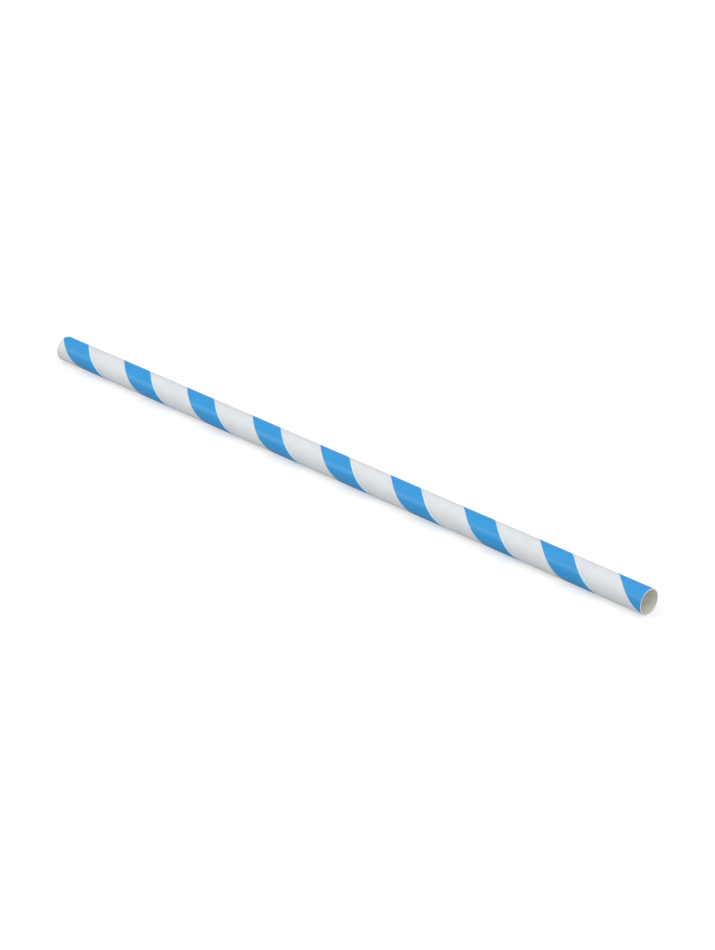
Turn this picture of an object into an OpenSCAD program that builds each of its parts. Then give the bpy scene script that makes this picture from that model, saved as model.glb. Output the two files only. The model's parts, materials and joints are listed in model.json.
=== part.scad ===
// Paper drinking straw, wound from paper strips, with one printed stripe.
// The straw lies on its side along X. Z is up, and the surface it lies on is z = 0.

/* [Straw] */
// Length from cut end to cut end, eight inches
straw_length = 203.2; // [100:0.2:260]
// Diameter of the bore
bore_d = 6; // [4:0.1:12]
// Thickness of the paper wall, all of its plies together
wall = 0.3; // [0.2:0.05:0.6]
// Depth of the narrow flat that the straw rests on, chosen by trial against the simulation
rest_flat = 0.05; // [0.02:0.01:0.1]

/* [Winding] */
// How far the wound strip moves along the straw in one turn
strip_pitch = 24.4; // [18:0.1:32]
// Thickness of the outermost strip, and so the depth of its seam
outer_ply = 0.08; // [0.05:0.01:0.12]
// Open width of the seam, along the straw, where two turns of the strip meet
seam_width = 0.25; // [0.1:0.05:0.5]
// White margin of the strip between the printed stripe and the seam, along the straw
seam_margin = 0.8; // [0.4:0.1:4]

/* [Print] */
// Width of the printed stripe, along the straw
stripe_width = 10.2; // [4:0.1:14]
// Where round the straw the stripe starts, as an angle from the side (+Y) towards the top
stripe_start = 100; // [0:1:359]

/* [Hidden] */

paper_colour = [0.90, 0.91, 0.91];
stripe_colour = [0.16, 0.50, 0.84];

bore_r = bore_d / 2;
paper_r = bore_r + wall;
under_ply_r = paper_r - outer_ply;
// Height of the straw's axis over the surface that it lies on
axis_height = paper_r - rest_flat;

// Straight steps in one turn of the winding
turn_steps = 24;
step_angle = 360 / turn_steps;
step_x = strip_pitch / turn_steps;
// How far a cutter reaches past the surface that it cuts
past = 0.5;

// Stretch of the outermost strip, wound round the straw. It is as deep as that strip and reaches
// past its face. It is width wide along the straw and crosses the angle stripe_start at first_x.
module wound_band(first_x, width) {
    lead_steps = ceil((first_x + width + past) / step_x);
    band_steps = lead_steps + ceil((straw_length - first_x + past) / step_x);
    face_r = paper_r + past;
    section = [[under_ply_r, 0], [face_r, 0], [face_r, width], [under_ply_r, width]];
    corners = len(section);
    rings = [
        for (i = [0 : band_steps])
            let (step = i - lead_steps, angle = stripe_start + step * step_angle)
                for (corner = section)
                    [
                        first_x + step * step_x + corner[1],
                        corner[0] * cos(angle),
                        corner[0] * sin(angle)
                    ]
    ];
    sides = [
        for (i = [0 : band_steps - 1], k = [0 : corners - 1])
            let (j = (k + 1) % corners, a = i * corners, b = a + corners)
                each [[a + k, a + j, b + j], [a + k, b + j, b + k]]
    ];
    first_end = [3, 2, 1, 0];
    last_end = [for (k = [0 : corners - 1]) band_steps * corners + k];
    polyhedron(points = rings, faces = concat([first_end], sides, [last_end]));
}

// Round bar along the straw's axis, from x = 0
module round_bar(radius, length) {
    rotate([0, 90, 0]) cylinder(r = radius, h = length, $fn = 96);
}

// What would lie under the surface that the straw rests on
module below_rest() {
    translate([-past, -paper_r, -axis_height - past])
        cube([straw_length + 2 * past, 2 * paper_r, past]);
}

// Wound paper: a tube with a narrow flat to rest on, and with the butt seam of its outermost
// strip as a shallow groove
module wound_paper() {
    difference() {
        round_bar(paper_r, straw_length);
        translate([-past, 0, 0]) round_bar(bore_r, straw_length + 2 * past);
        below_rest();
        wound_band(stripe_width + seam_margin, seam_width);
    }
}

// Field of the outermost strip that the stripe is printed on
module stripe_field() {
    wound_band(0, stripe_width);
}

// The straw is one piece, white paper with its stripe as a field of colour
module straw() {
    translate([-straw_length / 2, 0, axis_height]) {
        color(paper_colour) difference() {
            wound_paper();
            stripe_field();
        }
        color(stripe_colour) intersection() {
            wound_paper();
            stripe_field();
        }
    }
}

straw();
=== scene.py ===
# %% [markdown]
# # A striped paper drinking straw
#
# A paper straw is a tube wound from long strips of paper. Three or so plies are glued face to
# face on a steel rod, each strip at a slant, so that every strip's two edges meet along a
# seam that runs round the tube like a screw thread. The outermost strip is printed before it
# is wound, with one straight blue stripe, and the winding turns that straight stripe into the
# spiral that everyone knows.
#
# The CAD model gives the size, the place and the hollow. This script models the paper skin
# over it in the same way as the real one is made: a strip is drawn, wound, and cut to length.

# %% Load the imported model
import json
import math
import random

import bmesh
import bpy
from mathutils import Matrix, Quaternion, Vector


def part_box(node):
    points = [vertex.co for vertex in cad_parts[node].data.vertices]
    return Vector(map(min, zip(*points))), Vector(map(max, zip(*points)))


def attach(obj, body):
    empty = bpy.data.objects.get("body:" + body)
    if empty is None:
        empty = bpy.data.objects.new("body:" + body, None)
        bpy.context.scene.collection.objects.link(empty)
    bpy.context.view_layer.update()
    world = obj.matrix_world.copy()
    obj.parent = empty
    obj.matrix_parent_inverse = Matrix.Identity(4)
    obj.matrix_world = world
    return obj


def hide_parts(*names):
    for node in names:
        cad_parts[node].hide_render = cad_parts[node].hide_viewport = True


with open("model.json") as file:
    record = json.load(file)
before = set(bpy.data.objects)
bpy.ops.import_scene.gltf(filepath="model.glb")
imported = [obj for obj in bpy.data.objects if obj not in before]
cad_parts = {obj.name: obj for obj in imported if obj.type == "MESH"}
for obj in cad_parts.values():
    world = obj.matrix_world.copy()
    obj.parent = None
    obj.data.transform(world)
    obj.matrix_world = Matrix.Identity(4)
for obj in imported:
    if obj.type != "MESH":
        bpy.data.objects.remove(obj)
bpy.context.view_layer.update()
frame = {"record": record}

# %% [markdown]
# ## Sizes
#
# What the CAD model knows is read from it: the length, the height of the straw's axis, and
# both radii. The outside radius is the smaller of its two half-widths, so that the paper
# stays inside the CAD model's box. The sizes of the winding are written again here, in
# metres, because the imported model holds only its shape. The stripe's pitch, width and start
# were measured on the photograph. The seam and the plies can't be seen there, so their sizes
# are guesses. Angles round the straw start at the side (+Y) and go towards the top.

# %% Sizes of the straw and its winding
MM = 0.001
lowest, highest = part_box("straw")
bore = next(mount for mount in frame["record"]["mounts"] if mount["name"] == "bore")

LENGTH = highest.x - lowest.x
AXIS_Z = bore["pos_m"][2]
BORE_R = bore["dims"]["r_mm"] * MM
PAPER_R = min(highest.z - AXIS_Z, highest.y)

PITCH = 24.4 * MM
SEAM_WIDTH = 0.25 * MM
OUTER_PLY = 0.08 * MM
SEAM_MARGIN = 0.8 * MM
STRIPE_WIDTH = 10.2 * MM
STRIPE_START = math.radians(100)

print(f"straw {LENGTH / MM:.1f} mm long")
print(f"outside {2 * PAPER_R / MM:.2f} mm, bore {2 * BORE_R / MM:.2f} mm")

# %% [markdown]
# ## The strip's section
#
# Cut a wound strip along the straw and you see a nearly straight line: paper, a small dip
# where two edges of the strip meet, and paper again. That line is all that has to be drawn,
# because the winding repeats it. The dip has rounded shoulders, since paper has no sharp
# edges at this scale. A second, far fainter dip stands for the seam of the ply underneath,
# pressing through. Corners are set close together in a dip, at the shares of its half width
# that are listed below, and far apart on plain paper.

# %% Work out the line across one turn of a strip
DIP_FLOOR = 0.4
DIP_REACH = 1.8
SEAM_STOPS = (0, 0.4, 0.7, 1, 1.3, 1.6, 1.8)
UNDER_STOPS = (-1.8, -1.1, -0.4, 0.4, 1.1, 1.8)
UNDER_HALF = 0.5 * MM
UNDER_DEPTH = 0.005 * MM
PLAIN_STEPS = 16
LEAST_STEP = 0.02 * MM


def dip(distance, half_width, depth):
    """How far paper lies below its face, at a distance from the middle of a rounded groove."""
    reach = DIP_REACH * half_width
    t = min(1, max(0, (reach - abs(distance)) / (reach - DIP_FLOOR * half_width)))
    return depth * t * t * (3 - 2 * t)


def strip_line(seam_half, seam_depth, under_seam):
    """Points (x, depth) across one turn of a strip, from the middle of its seam to the next."""
    dense = [part * seam_half for part in SEAM_STOPS]
    across = dense + [PITCH - x for x in dense]
    across += [under_seam + part * UNDER_HALF for part in UNDER_STOPS]
    across += [PITCH * step / PLAIN_STEPS for step in range(1, PLAIN_STEPS)]
    across.sort()
    kept = [across[0]]
    for x in across[1:]:
        if x - kept[-1] > LEAST_STEP:
            kept.append(x)
    return [
        (
            x,
            dip(x, seam_half, seam_depth)
            + dip(PITCH - x, seam_half, seam_depth)
            + dip(x - under_seam, UNDER_HALF, UNDER_DEPTH),
        )
        for x in kept
    ]


print("seam floor:", round(dip(0, SEAM_WIDTH / 2, OUTER_PLY) / MM, 3), "mm below the face")

# %% [markdown]
# ## Drawing the line
#
# By hand, a line like this is drawn from a single corner: add a plane, merge it at its centre
# into one corner, and press E to pull a new corner out of the last one, again and again. The
# same three steps are done here by their operators.

# %% Draw a line, corner by corner
def draw_line(name, points):
    """Pulls one corner out along points in the X-Z plane, and returns the edge line."""
    bpy.ops.object.select_all(action="DESELECT")
    bpy.ops.mesh.primitive_plane_add(size=MM, location=(0, 0, AXIS_Z))
    line = bpy.context.object
    line.name = name
    bpy.ops.object.mode_set(mode="EDIT")
    bpy.ops.mesh.select_all(action="SELECT")
    bpy.ops.mesh.merge(type="CENTER")
    bpy.ops.transform.translate(value=(points[0][0], 0, points[0][1]))
    for (x, z), (next_x, next_z) in zip(points, points[1:]):
        bpy.ops.mesh.extrude_region_move(
            TRANSFORM_OT_translate={"value": (next_x - x, 0, next_z - z)}
        )
    bpy.ops.object.mode_set(mode="OBJECT")
    return line


# %% [markdown]
# ## Winding
#
# The Screw modifier does what the winding machine does: it turns the line about the X axis
# and carries it one pitch along in each turn. The end of one turn then lies exactly on the
# start of the next, and merging them closes the tube. The modifier also fills the UV map,
# with the number of turns in U and the share of the strip's width in V. These are turned
# into millimetres on the flat strip, so that a material can be drawn on it as on paper that
# hasn't been wound yet.

# %% Wind a line into a tube
ROUND_STEPS = 96
MERGE_DISTANCE = 0.002 * MM


def wind(line, advance, turns):
    """Turns a line about the straw's axis, and closes the tube that it makes."""
    screw = line.modifiers.new("Winding", "SCREW")
    screw.axis = "X"
    screw.angle = math.tau
    screw.screw_offset = advance
    screw.iterations = turns
    screw.steps = ROUND_STEPS
    screw.render_steps = ROUND_STEPS
    screw.use_stretch_u = True
    screw.use_stretch_v = True
    bpy.ops.object.modifier_apply(modifier=screw.name)
    bpy.ops.object.mode_set(mode="EDIT")
    bpy.ops.mesh.select_all(action="SELECT")
    bpy.ops.mesh.remove_doubles(threshold=MERGE_DISTANCE)
    bpy.ops.object.mode_set(mode="OBJECT")


def unroll_map(tube, radius):
    """Rewrites the UV map in millimetres of the flat strip: U along it and V across it."""
    around = math.tau * radius
    slant = math.atan2(PITCH, around)
    flat = tube.data.uv_layers.active
    flat.name = "strip"
    for corner in flat.data:
        turns, part = corner.uv
        x = (turns + part) * PITCH
        y = turns * around
        corner.uv = (
            (y * math.cos(slant) + x * math.sin(slant)) / MM,
            (x * math.cos(slant) - y * math.sin(slant)) / MM,
        )


# %% [markdown]
# ## Cutting to length
#
# The tube is wound longer than the straw, and Bisect cuts both ends off square. Its threshold
# says how near the plane a corner counts as lying on it. The usual value is a tenth of a
# millimetre, and on an object this small it leaves corners standing past the cut, so a far
# smaller one is given.
#
# Each skin ends a little short of the ring that closes the wall later on. With the rims of
# the two in one plane, Bridge Edge Loops could turn one of them round. The slope between
# them also eases the sharp edge of the cut.

# %% Cut a tube, and make one face of the wall
CUT_ROUGHNESS = 0.012 * MM
CUT_ROUNDING = 0.03 * MM
CUT_TOLERANCE = 0.0005 * MM


def cut_to_length(half_length):
    """Cuts both ends off the tube in hand, square and half_length from its middle."""
    bpy.ops.object.mode_set(mode="EDIT")
    for end in (-1, 1):
        bpy.ops.mesh.select_all(action="SELECT")
        bpy.ops.mesh.bisect(
            plane_co=(end * half_length, 0, 0),
            plane_no=(end, 0, 0),
            clear_outer=True,
            threshold=CUT_TOLERANCE,
        )
    bpy.ops.object.mode_set(mode="OBJECT")


def wound_skin(name, radius, side, seam_x, seam_half, seam_depth, under_seam):
    """One face of the paper wall. side is 1 for the outside, and -1 for the bore."""
    first_turn = math.floor((-LENGTH / 2 - seam_x) / PITCH) - 1
    start_x = seam_x + first_turn * PITCH
    points = [
        (start_x + x, radius - side * depth)
        for x, depth in strip_line(seam_half, seam_depth, under_seam)
    ]
    skin = draw_line(name, points)
    wind(skin, PITCH, math.ceil((LENGTH / 2 - start_x) / PITCH))
    unroll_map(skin, radius)
    cut_to_length(LENGTH / 2 - CUT_ROUGHNESS - CUT_ROUNDING)
    print(f"{name}: {len(skin.data.vertices)} corners, {len(skin.data.polygons)} faces")
    return skin


# %% [markdown]
# ## Outer skin and bore
#
# The line is drawn straight above the axis, so the place of each seam is given there. The
# outer seam follows from the printed stripe, which lies just before it on the strip. Nobody
# sees where the bore's own strip meets inside, so its seam sits half a turn further on, as
# plies are staggered to keep a straw stiff. The faint dip of the ply underneath lies some
# share of a pitch past each seam.

# %% Wind both skins
BORE_SEAM_HALF = 0.18 * MM
BORE_SEAM_DEPTH = 0.05 * MM
UNDER_OUTSIDE = 0.34 * PITCH
UNDER_BORE = 0.6 * PITCH

top_angle = math.pi / 2
stripe_at_top = -LENGTH / 2 + PITCH * (top_angle - STRIPE_START) / math.tau
outer_seam_at_top = stripe_at_top + STRIPE_WIDTH + SEAM_MARGIN + SEAM_WIDTH / 2
bore_seam_at_top = outer_seam_at_top + PITCH / 2

outer_skin = wound_skin(
    "wound_straw", PAPER_R, 1, outer_seam_at_top, SEAM_WIDTH / 2, OUTER_PLY, UNDER_OUTSIDE
)
bore_skin = wound_skin(
    "bore_skin", BORE_R, -1, bore_seam_at_top, BORE_SEAM_HALF, BORE_SEAM_DEPTH, UNDER_BORE
)

# %% [markdown]
# ## Cut ends
#
# The knife leaves a flat ring of paper at each end, on which the plies show as fine lines.
# The ring is a small section, turned once round the axis with no advance. It starts and
# stops just below the floors of the two seams, so that a seam runs out over the eased edge.
# Where two plies meet it has a shallow groove. Both grooves are moved a little from where
# the plies meet, to fit on the ring.

# %% Turn the cut rings
PLY_GROOVE = 0.02 * MM
GROOVE_HALF = 0.012 * MM
RING_OUTSIDE = PAPER_R - 1.15 * OUTER_PLY
RING_INSIDE = BORE_R + 0.08 * MM
middle_ply = (PAPER_R - OUTER_PLY - BORE_R) / 2
ply_joints = [PAPER_R - 1.4 * OUTER_PLY, BORE_R + middle_ply * 0.9]


def cut_ring(name, end):
    """The ring of cut paper at one end of the straw, between its two skins."""
    face_x = end * (LENGTH / 2 - CUT_ROUGHNESS)
    points = [(face_x, RING_OUTSIDE)]
    for joint in ply_joints:
        points.append((face_x, joint + GROOVE_HALF))
        points.append((face_x - end * PLY_GROOVE, joint))
        points.append((face_x, joint - GROOVE_HALF))
    points.append((face_x, RING_INSIDE))
    ring = draw_line(name, points)
    wind(ring, 0, 1)
    ring.data.uv_layers.active.name = "strip"
    return ring


rings = [cut_ring("cut_ring_left", -1), cut_ring("cut_ring_right", 1)]
print("rings:", [len(ring.data.polygons) for ring in rings], "faces")

# %% [markdown]
# ## Node helpers
#
# A node tree that is built in code soon becomes a wall of repeated lines. Four small helpers
# add a node, a sum, a noise and a change of range, each with its place in the editor, so that
# the trees below stay readable both here and in the Shader Editor.

# %% Helpers for node trees
def add_node(tree, kind, place, values=None, **settings):
    """Adds one node, with its settings and the values of its inputs."""
    made = tree.nodes.new(kind)
    made.location = place
    for name, setting in settings.items():
        setattr(made, name, setting)
    for name, value in (values or {}).items():
        made.inputs[name].default_value = value
    return made


def add_math(tree, operation, place, first, second, clamp=False):
    """Adds a Math node. first and second are sockets or plain numbers."""
    made = add_node(tree, "ShaderNodeMath", place, operation=operation, use_clamp=clamp)
    for socket, given in zip(made.inputs, (first, second)):
        if isinstance(given, bpy.types.NodeSocket):
            tree.links.new(given, socket)
        else:
            socket.default_value = given
    return made.outputs[0]


def add_noise(tree, place, vector, scale, detail, roughness=0.5):
    """Adds a noise texture on a vector socket, and returns its value around 0.5."""
    values = {"Scale": scale, "Detail": detail, "Roughness": roughness}
    made = add_node(tree, "ShaderNodeTexNoise", place, values)
    tree.links.new(vector, made.inputs["Vector"])
    return made.outputs[0]


def add_range(tree, place, value, start, end, low, high, smooth=True):
    """Maps a value: start becomes low, end becomes high, and beyond them it stays so."""
    values = {"From Min": start, "From Max": end, "To Min": low, "To Max": high}
    shape = "SMOOTHSTEP" if smooth else "LINEAR"
    made = add_node(tree, "ShaderNodeMapRange", place, values, interpolation_type=shape)
    tree.links.new(value, made.inputs["Value"])
    return made.outputs["Result"]


# %% [markdown]
# ## Paper fibre
#
# Paper looks like paper because it is uneven at every scale. Up close there are fibres, and
# further off there is a faint cloudiness where the pulp settled thicker or thinner. A fibre
# is a thin winding line, and noise has such lines in it: the places where its value passes
# through its middle. Squeezing the noise one way first makes the lines run mostly the other
# way, and three layers at different slants, given in radians, make a mat of them.

# %% Fibre strands
STRAND_LAYS = (0.12, -0.55, 0.95)
STRAND_SQUEEZE = (0.8, 6.0, 1.0)
STRAND_WIDTH = 0.035


def add_strands(tree, row, millimetres, turn):
    """Thin winding lines, about one way: where squeezed noise passes through its middle."""
    values = {"Rotation": (0, 0, turn), "Scale": STRAND_SQUEEZE}
    lay = add_node(tree, "ShaderNodeMapping", (-900, row), values)
    tree.links.new(millimetres, lay.inputs["Vector"])
    drift = add_noise(tree, (-700, row), lay.outputs[0], 1.0, 3)
    aside = add_math(tree, "SUBTRACT", (-520, row), drift, 0.5)
    aside = add_math(tree, "ABSOLUTE", (-360, row), aside, 0)
    return add_range(tree, (-200, row), aside, 0.0, STRAND_WIDTH, 1.0, 0.0)


# %% [markdown]
# ## One group for all paper
#
# The printed face, the bore and the cut edge are all the same paper, so strands, a fine grain
# and the clouds are put together in one node group. It takes a place in millimetres and gives
# a tone around 1 and a height for a bump. Roughly the mean of all that is added up is taken
# off again, so that the tone makes a colour uneven, and on the whole less than one percent
# lighter.

# %% The node group that every paper face shares
GRAINS_PER_MM = 11.0
CLOUDS_PER_MM = 0.32
STRAND_WEIGHT = 0.33
STRAND_RELIEF = 0.9
GRAIN_WEIGHT = 0.5
CLOUD_WEIGHT = 2.4
STRAND_SHARE = 0.12
MIDDLE_UNEVEN = (GRAIN_WEIGHT + CLOUD_WEIGHT) / 2 + STRAND_SHARE


def make_paper_fibre():
    """A node group: a place in millimetres in, a tone around 1 and a height around 0.4 out."""
    tree = bpy.data.node_groups.new("Paper fibre", "ShaderNodeTree")
    tree.interface.new_socket("Millimetres", in_out="INPUT", socket_type="NodeSocketVector")
    tree.interface.new_socket("Contrast", in_out="INPUT", socket_type="NodeSocketFloat")
    tree.interface.new_socket("Tone", in_out="OUTPUT", socket_type="NodeSocketFloat")
    tree.interface.new_socket("Height", in_out="OUTPUT", socket_type="NodeSocketFloat")
    entry = add_node(tree, "NodeGroupInput", (-1100, 0))
    leave = add_node(tree, "NodeGroupOutput", (1100, 0))
    millimetres = entry.outputs["Millimetres"]

    strands = add_strands(tree, 600, millimetres, STRAND_LAYS[0])
    for row, turn in zip((300, 0), STRAND_LAYS[1:]):
        layer = add_strands(tree, row, millimetres, turn)
        strands = add_math(tree, "ADD", (0, row), strands, layer)
    strands = add_math(tree, "MULTIPLY", (160, 200), strands, STRAND_WEIGHT)
    grain = add_noise(tree, (-200, -250), millimetres, GRAINS_PER_MM, 3)
    clouds = add_noise(tree, (-200, -500), millimetres, CLOUDS_PER_MM, 4, 0.6)

    fine_grain = add_math(tree, "MULTIPLY", (0, -250), grain, GRAIN_WEIGHT)
    raised = add_math(tree, "MULTIPLY", (320, 300), strands, STRAND_RELIEF)
    height = add_math(tree, "ADD", (480, 200), raised, fine_grain)
    tree.links.new(height, leave.inputs["Height"])

    uneven = add_math(tree, "ADD", (320, -100), strands, fine_grain)
    cloudy = add_math(tree, "MULTIPLY", (0, -500), clouds, CLOUD_WEIGHT)
    uneven = add_math(tree, "ADD", (480, -200), uneven, cloudy)
    centred = add_math(tree, "SUBTRACT", (640, -200), uneven, MIDDLE_UNEVEN)
    tone = add_math(tree, "MULTIPLY", (800, -200), centred, entry.outputs["Contrast"])
    tree.links.new(add_math(tree, "ADD", (960, -200), tone, 1.0), leave.inputs["Tone"])
    return tree


paper_fibre = make_paper_fibre()
print("group:", paper_fibre.name, [item.name for item in paper_fibre.interface.items_tree])

# %% [markdown]
# ## What every paper starts from
#
# Each of the three papers begins in the same way: a place in millimetres goes into the fibre
# group, its tone makes the colour uneven, and its height becomes a bump. The skins read the
# UV map of the flat strip. The cut rings cross all the plies and have no place on the strip,
# so they read the object's own space.

# %% Parts that the paper materials share
BUMP_STRENGTH = 0.6


def on_strip(tree):
    """Millimetres on the flat strip, from the UV map that the winding made."""
    return add_node(tree, "ShaderNodeUVMap", (-1500, 0), uv_map="strip").outputs["UV"]


def on_object(tree):
    """Millimetres in the object's own space, for the cut edge."""
    spot = add_node(tree, "ShaderNodeTexCoord", (-1700, 0))
    scaled = add_node(tree, "ShaderNodeMapping", (-1500, 0), {"Scale": (1 / MM, 1 / MM, 1 / MM)})
    tree.links.new(spot.outputs["Object"], scaled.inputs["Vector"])
    return scaled.outputs["Vector"]


def start_material(name, millimetres, contrast):
    """A new material, its place in millimetres, and the paper's tone and height there."""
    made = bpy.data.materials.new(name)
    made.use_nodes = True
    tree = made.node_tree
    place = millimetres(tree)
    fibre = add_node(tree, "ShaderNodeGroup", (-900, -100), node_tree=paper_fibre)
    fibre.inputs["Contrast"].default_value = contrast
    tree.links.new(place, fibre.inputs["Millimetres"])
    return made, place, fibre.outputs["Tone"], fibre.outputs["Height"]


def tinted(tree, place, colour, tone):
    """A colour, or a socket that gives one, made lighter and darker by a tone around 1."""
    mixed = add_node(tree, "ShaderNodeVectorMath", place, operation="SCALE")
    if isinstance(colour, bpy.types.NodeSocket):
        tree.links.new(colour, mixed.inputs[0])
    else:
        mixed.inputs[0].default_value = colour[:3]
    tree.links.new(tone, mixed.inputs["Scale"])
    return mixed.outputs[0]


def add_bump(tree, shader, height, distance):
    """Presses a height into the surface, at a distance in metres."""
    values = {"Strength": BUMP_STRENGTH, "Distance": distance}
    bump = add_node(tree, "ShaderNodeBump", (-250, -450), values)
    tree.links.new(height, bump.inputs["Height"])
    tree.links.new(bump.outputs["Normal"], shader.inputs["Normal"])


# %% [markdown]
# ## Bare paper
#
# The bore and the cut ends needed no smooth face to print on, so they are made a little
# rougher than the outside, with a stronger bump. The photograph shows the bore greyer and a
# little yellower than the outside. Its colour was set together with a lamp until it came out
# so, which makes it a match and no measurement. The colour of the cut ends was chosen
# between the two.

# %% Bare paper material
BARE_PAPER = (0.88, 0.875, 0.79, 1)
CUT_PAPER = (0.86, 0.865, 0.86, 1)
BORE_CONTRAST = 0.08
CUT_CONTRAST = 0.10
BARE_ROUGHNESS = 0.65
BARE_UNEVENNESS = 0.3
BARE_RELIEF = 0.03 * MM


def make_bare_paper(name, millimetres, colour, contrast):
    """Unprinted paper, as in the bore and on the cut ends."""
    made, _, tone, height = start_material(name, millimetres, contrast)
    tree = made.node_tree
    shader = tree.nodes["Principled BSDF"]
    tree.links.new(tinted(tree, (-500, 100), colour, tone), shader.inputs["Base Color"])
    uneven = add_math(tree, "MULTIPLY", (-650, -150), height, BARE_UNEVENNESS)
    rough = add_math(tree, "ADD", (-500, -150), uneven, BARE_ROUGHNESS, clamp=True)
    tree.links.new(rough, shader.inputs["Roughness"])
    add_bump(tree, shader, height, BARE_RELIEF)
    return made


bore_paper = make_bare_paper("Bore paper", on_strip, BARE_PAPER, BORE_CONTRAST)
cut_paper = make_bare_paper("Cut paper", on_object, CUT_PAPER, CUT_CONTRAST)
print("bare papers:", bore_paper.name, "and", cut_paper.name)

# %% [markdown]
# ## Where the ink lies
#
# The stripe is printed with a rubber plate, so its edges are crisp from a step away and
# waver by a few hundredths of a millimetre close up, where ink creeps along the fibres. On
# the flat strip the stripe is a plain straight band, so all that its mask needs is the
# distance from the band's middle line, with a little noise added. Here and there the paper
# took less ink, which leaves small pale specks. All sizes here are in millimetres, as the
# map of the strip is.

# %% Masks of the printed stripe
EDGE_WAVER = 0.05
EDGE_SOFTNESS = 0.03
CREEP_PER_MM = 2.2
SPECKS_PER_MM = 8.0
SPECK_EDGE = 0.66
SPECK_HEART = 0.74
SPECK_INK = 0.6

strip_slant = math.atan2(PITCH, math.tau * PAPER_R)
across_mm = math.cos(strip_slant) / MM
stripe_end = PITCH - SEAM_WIDTH / 2 - SEAM_MARGIN
STRIPE_MIDDLE = (stripe_end - STRIPE_WIDTH / 2) * across_mm
STRIPE_HALF = STRIPE_WIDTH / 2 * across_mm


def from_stripe_middle(tree, place):
    """Millimetres across the strip from the stripe's middle line, wavering a little."""
    parts = add_node(tree, "ShaderNodeSeparateXYZ", (-1300, 300))
    tree.links.new(place, parts.inputs[0])
    creep = add_noise(tree, (-1300, 550), place, CREEP_PER_MM, 4, 0.6)
    creep = add_math(tree, "SUBTRACT", (-1100, 550), creep, 0.5)
    creep = add_math(tree, "MULTIPLY", (-900, 550), creep, EDGE_WAVER * 2)
    across = add_math(tree, "ADD", (-900, 350), parts.outputs["Y"], creep)
    across = add_math(tree, "SUBTRACT", (-700, 350), across, STRIPE_MIDDLE)
    return add_math(tree, "ABSOLUTE", (-500, 350), across, 0)


def ink_cover(tree, place, inked):
    """The share of ink at each spot: the stripe, less the specks that took less of it."""
    specks = add_noise(tree, (-1100, -750), place, SPECKS_PER_MM, 2)
    took_ink = add_range(
        tree, (-900, -750), specks, SPECK_EDGE, SPECK_HEART, 1.0, SPECK_INK
    )
    return add_math(tree, "MULTIPLY", (-200, 450), inked, took_ink)


print(f"stripe on the flat strip: {2 * STRIPE_HALF:.2f} mm wide")

# %% [markdown]
# ## Ink and white
#
# Ink lies unevenly: it is flecked, and the plate squeezes a slightly darker outline out at the
# stripe's edges. The white of the paper drifts slowly between a cooler and a warmer one. All
# three colours were set by trial, together with the lamps, until the straw's shades came near
# the photograph's.

# %% Colours of the ink and of the white
PAPER = (0.778, 0.825, 0.870, 1)
WARM_PAPER = (0.812, 0.834, 0.850, 1)
WARMTH_PER_MM = 0.16
INK = (0.020, 0.345, 0.77, 1)
SQUEEZE_START = 0.18
SQUEEZE_END = 0.04
SQUEEZE_TONE = -0.07
FLECKS_PER_MM = 4.5
FLECK_CONTRAST = 0.22


def ink_colour(tree, place, across, tone):
    """The ink: flecked, and darker along the stripe's edges."""
    start = STRIPE_HALF - SQUEEZE_START
    end = STRIPE_HALF - SQUEEZE_END
    squeeze = add_range(tree, (-300, 700), across, start, end, 0.0, SQUEEZE_TONE, smooth=False)
    flecks = add_noise(tree, (-1100, -500), place, FLECKS_PER_MM, 4, 0.65)
    flecks = add_math(tree, "SUBTRACT", (-900, -500), flecks, 0.5)
    flecks = add_math(tree, "MULTIPLY", (-700, -500), flecks, FLECK_CONTRAST)
    ink_tone = add_math(tree, "ADD", (-500, -500), flecks, tone)
    ink_tone = add_math(tree, "ADD", (-400, -500), ink_tone, squeeze)
    return tinted(tree, (-300, -50), INK, ink_tone)


def white_colour(tree, place, tone):
    """The unprinted part of the outermost strip, cooler here and warmer there."""
    warmth = add_noise(tree, (-1100, 100), place, WARMTH_PER_MM, 2)
    whites = add_node(tree, "ShaderNodeMix", (-500, 150), data_type="RGBA")
    whites.inputs["A"].default_value = PAPER
    whites.inputs["B"].default_value = WARM_PAPER
    tree.links.new(warmth, whites.inputs["Factor"])
    return tinted(tree, (-300, 100), whites.outputs["Result"], tone)


# %% [markdown]
# ## Printed paper
#
# Ink fills the paper's pores: it is smoother than the bare paper, catches a soft broad sheen,
# and lets a little of the paper's unevenness through. So the stripe's mask does two jobs. It
# mixes the ink into the white, and it lowers the roughness.

# %% Printed paper material
FACE_CONTRAST = 0.06
FACE_ROUGHNESS = 0.62
FACE_UNEVENNESS = 0.25
FACE_RELIEF = 0.012 * MM
INK_SMOOTHING = 0.34


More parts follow.
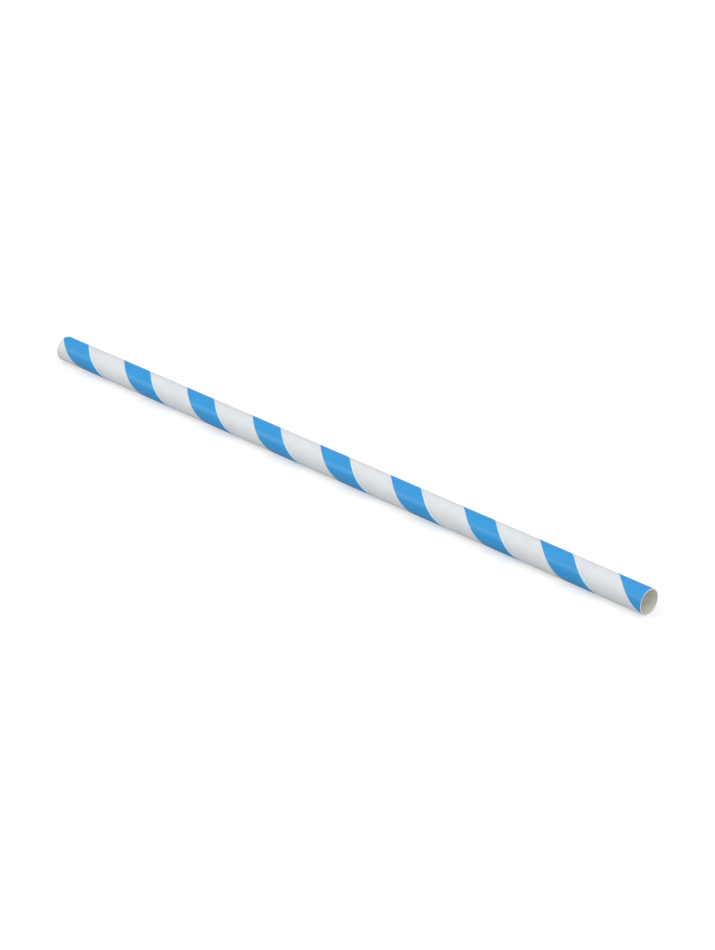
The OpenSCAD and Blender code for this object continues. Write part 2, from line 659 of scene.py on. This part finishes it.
def make_printed_paper():
    """The outermost strip: white paper with one printed stripe."""
    made, place, tone, height = start_material("Printed paper", on_strip, FACE_CONTRAST)
    tree = made.node_tree
    shader = tree.nodes["Principled BSDF"]
    across = from_stripe_middle(tree, place)
    inside = STRIPE_HALF - EDGE_SOFTNESS
    outside = STRIPE_HALF + EDGE_SOFTNESS
    inked = add_range(tree, (-300, 400), across, inside, outside, 1.0, 0.0)

    colours = add_node(tree, "ShaderNodeMix", (-100, 200), data_type="RGBA")
    tree.links.new(ink_cover(tree, place, inked), colours.inputs["Factor"])
    tree.links.new(white_colour(tree, place, tone), colours.inputs["A"])
    tree.links.new(ink_colour(tree, place, across, tone), colours.inputs["B"])
    tree.links.new(colours.outputs["Result"], shader.inputs["Base Color"])

    # Height averages 0.4, so bare paper ends near 0.72 and ink near 0.38
    uneven = add_math(tree, "MULTIPLY", (-500, -200), height, FACE_UNEVENNESS)
    bare = add_math(tree, "ADD", (-300, -200), uneven, FACE_ROUGHNESS)
    smoothed = add_math(tree, "MULTIPLY", (-300, -350), inked, INK_SMOOTHING)
    rough = add_math(tree, "SUBTRACT", (-100, -200), bare, smoothed, clamp=True)
    tree.links.new(rough, shader.inputs["Roughness"])
    add_bump(tree, shader, height, FACE_RELIEF)
    return made


printed_paper = make_printed_paper()
print("printed paper:", len(printed_paper.node_tree.nodes), "nodes")

# %% [markdown]
# ## Paper on every piece
#
# Each skin and ring gets its own paper before they are joined, because a join keeps the
# material of every face.

# %% Give each skin and ring its paper
papers = [(outer_skin, printed_paper), (bore_skin, bore_paper)]
papers += [(ring, cut_paper) for ring in rings]
for piece, paper in papers:
    piece.data.materials.clear()
    piece.data.materials.append(paper)
print("papers:", [(piece.name, paper.name) for piece, paper in papers])

# %% [markdown]
# ## One closed wall
#
# The skins and rings are joined, and Bridge Edge Loops closes the four narrow gaps between
# them. Edges are selected by where they lie: at one end of the straw, and near the outside
# or near the bore. At the end the object's place is applied, so that its origin is that of
# the frame, where the export expects it.

# %% Join and bridge the wall
def select_edges(wanted):
    """Selects the open edges whose two corners are all wanted, in edit mode."""
    bpy.ops.mesh.select_mode(type="EDGE")
    bpy.ops.mesh.select_all(action="DESELECT")
    shape = bmesh.from_edit_mesh(bpy.context.object.data)
    for edge in shape.edges:
        edge.select = edge.is_boundary and all(wanted(corner.co) for corner in edge.verts)
    bmesh.update_edit_mesh(bpy.context.object.data)


def from_axis(spot):
    """Distance of a corner from the straw's axis, which is the origin until it is applied."""
    return math.hypot(spot.y, spot.z)


bpy.ops.object.select_all(action="DESELECT")
for piece in (outer_skin, bore_skin, *rings):
    piece.select_set(True)
bpy.context.view_layer.objects.active = outer_skin
bpy.ops.object.join()
straw = bpy.context.object
straw.active_material_index = straw.data.materials.find(cut_paper.name)

bpy.ops.object.mode_set(mode="EDIT")
mid_wall = (PAPER_R + BORE_R) / 2
for end in (-1, 1):
    select_edges(lambda spot: end * spot.x > 0 and from_axis(spot) > mid_wall)
    bpy.ops.mesh.bridge_edge_loops()
    bpy.ops.object.material_slot_assign()
    select_edges(lambda spot: end * spot.x > 0 and from_axis(spot) < mid_wall)
    bpy.ops.mesh.bridge_edge_loops()
    bpy.ops.object.material_slot_assign()
bpy.ops.mesh.select_all(action="SELECT")
bpy.ops.mesh.normals_make_consistent(inside=False)
bpy.ops.object.mode_set(mode="OBJECT")
bpy.ops.object.transform_apply(location=True, rotation=True, scale=True)
print(f"{straw.name}: {len(straw.data.polygons)} faces")

# %% [markdown]
# ## Is it closed?
#
# A closed wall has no open edges, and with its faces outwards its volume is that of the paper
# alone, about 1200 cubic millimetres. Were the bore's faces turned round, its hollow would be
# added instead of taken away, and the volume would be about ten times as large.

# %% Measure the wall
shape = bmesh.new()
shape.from_mesh(straw.data)
open_edges = sum(not edge.is_manifold for edge in shape.edges)
volume = shape.calc_volume(signed=True)
shape.free()
print(f"{open_edges} open edges, {volume / MM**3:.0f} mm3 of paper")

# %% [markdown]
# ## The resting line and the cut
#
# The CAD model has a narrow flat along the lowest line, chosen so that the straw doesn't roll
# away in the simulation. The skin was wound round, so its corners below the table are scaled
# flat onto it, as S, Z, 0 does in the window. Then the corners of the cut are shaken by a
# hundredth of a millimetre, since no knife leaves a perfect edge.

# %% Flatten the resting line and roughen the cut
SMOOTH_ANGLE = math.radians(40)

bpy.ops.object.mode_set(mode="EDIT")
bpy.ops.mesh.select_mode(type="VERT")
bpy.ops.mesh.select_all(action="DESELECT")
shape = bmesh.from_edit_mesh(straw.data)
for corner in shape.verts:
    corner.select = corner.co.z < 0
bmesh.update_edit_mesh(straw.data)
bpy.ops.transform.resize(value=(1, 1, 0), center_override=(0, 0, 0))

shake = random.Random(3)
cut_zone = LENGTH / 2 - 2 * CUT_ROUGHNESS - CUT_ROUNDING
for corner in shape.verts:
    if abs(corner.co.x) > cut_zone:
        corner.co.x += shake.uniform(-1, 1) * CUT_ROUGHNESS
bmesh.update_edit_mesh(straw.data)
bpy.ops.object.mode_set(mode="OBJECT")

bpy.ops.object.shade_smooth_by_angle(angle=SMOOTH_ANGLE)
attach(straw, "root")
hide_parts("straw")
print("finished:", straw.name, [paper.name for paper in straw.data.materials])

# %% [markdown]
# ## Floor
#
# The straw lies on a plain pale floor. It is matt, and its material adds plain white for the
# camera alone, so that the floor reads as white while the shadow under the straw still shows.
# Far from the straw the lamps fade, so more is added there.

# %% Floor
FLOOR_SIZE = 6.0
FLOOR_GREY = 0.60
FLOOR_LIFT = 0.50
FAR_LIFT = 0.25
FADE_START = 0.2
FADE_END = 1.2

bpy.ops.object.select_all(action="DESELECT")
bpy.ops.mesh.primitive_plane_add(size=FLOOR_SIZE, location=(0, 0, 0))
floor = bpy.context.object
floor.name = "floor"
floor_white = bpy.data.materials.new("Floor white")
floor_white.use_nodes = True
tree = floor_white.node_tree
shader = tree.nodes["Principled BSDF"]
shader.inputs["Base Color"].default_value = (FLOOR_GREY, FLOOR_GREY, FLOOR_GREY, 1)
shader.inputs["Roughness"].default_value = 0.9
shader.inputs["Specular IOR Level"].default_value = 0.0
shader.inputs["Emission Color"].default_value = (1, 1, 1, 1)
spot = add_node(tree, "ShaderNodeTexCoord", (-900, -500))
reach = add_node(tree, "ShaderNodeVectorMath", (-720, -500), operation="LENGTH")
tree.links.new(spot.outputs["Object"], reach.inputs[0])
distance = reach.outputs["Value"]
lifts = (FLOOR_LIFT, FLOOR_LIFT + FAR_LIFT)
further = add_range(tree, (-540, -500), distance, FADE_START, FADE_END, *lifts, smooth=False)
seen = add_node(tree, "ShaderNodeLightPath", (-540, -250)).outputs["Is Camera Ray"]
lift = add_math(tree, "MULTIPLY", (-250, -300), seen, further)
tree.links.new(lift, shader.inputs["Emission Strength"])
floor.data.materials.append(floor_white)
print("floor:", FLOOR_SIZE, "m wide")

# %% [markdown]
# ## Light
#
# The world is an even white, and gives about two fifths of the light on the straw as the
# camera sees it. A large soft lamp overhead gives nearly three tenths. A small one low at the
# front brings out the sheen of the ink, and another faces the near end and helps to light the
# bore. Lamps, floor and paper were set together, by trial, until the straw's shades came near
# the photograph's. One photograph can't tell a brighter lamp from a whiter paper, so other
# settings could look the same.

# %% Light
WORLD_LIGHT = 0.44


def add_softbox(name, place, target, size, power):
    """A square area lamp at place, turned to face target."""
    bpy.ops.object.light_add(type="AREA", location=place)
    lamp = bpy.context.object
    lamp.name = name
    lamp.data.size = size
    lamp.data.energy = power
    facing = Vector(target) - Vector(place)
    lamp.rotation_euler = facing.to_track_quat("-Z", "Y").to_euler()
    return lamp


lamps = [
    add_softbox("overhead_softbox", (0.1, 0.0, 1.6), (0, 0, 0), 2.2, 15.0),
    add_softbox("front_softbox", (-0.62, -0.68, 0.40), (0, 0, 0), 0.42, 1.9),
    add_softbox("end_softbox", (0.92, -0.22, 0.30), (0, 0, 0), 0.4, 2.0),
]
world = bpy.data.worlds.new("studio")
bpy.context.scene.world = world
world.use_nodes = True
tree = world.node_tree
background = tree.nodes["Background"]
background.inputs["Color"].default_value = (1, 1, 1, 1)
seen = add_node(tree, "ShaderNodeLightPath", (-500, 0)).outputs["Is Camera Ray"]
lift = add_math(tree, "MULTIPLY", (-300, 0), seen, 1 - WORLD_LIGHT)
strength = add_math(tree, "ADD", (-150, 0), lift, WORLD_LIGHT)
tree.links.new(strength, background.inputs["Strength"])
bpy.context.scene.view_settings.view_transform = "Standard"
print("lamps:", [(lamp.name, round(lamp.data.energy, 1)) for lamp in lamps])

# %% [markdown]
# ## Camera
#
# The camera looks at the straw from the side and height that a fit to the photograph gives,
# and from the same distance. It is turned to a point near the middle of the straw, and its
# lens is longer than the fit's, so that the straw fills the width of the picture.

# %% Camera
CAMERA_DISTANCE = 0.785
CAMERA_AZIMUTH = math.radians(44.83)
CAMERA_ELEVATION = math.radians(28.98)
CAMERA_ROLL = math.radians(2.2)
CAMERA_LENS_MM = 119
LOOKED_AT_X = 8 * MM
NEAREST_SEEN = 0.01

away = Vector(
    (
        math.sin(CAMERA_AZIMUTH) * math.cos(CAMERA_ELEVATION),
        -math.cos(CAMERA_AZIMUTH) * math.cos(CAMERA_ELEVATION),
        math.sin(CAMERA_ELEVATION),
    )
)
middle = Vector((LOOKED_AT_X, 0, AXIS_Z))
bpy.ops.object.camera_add(location=middle + away * CAMERA_DISTANCE)
camera = bpy.context.object
camera.name = "camera"
camera.data.lens = CAMERA_LENS_MM
camera.data.clip_start = NEAREST_SEEN
turned = (-away).to_track_quat("-Z", "Y")
camera.rotation_mode = "QUATERNION"
camera.rotation_quaternion = Quaternion(-away, CAMERA_ROLL) @ turned
bpy.context.scene.camera = camera
print("camera at", [round(part, 3) for part in camera.location])
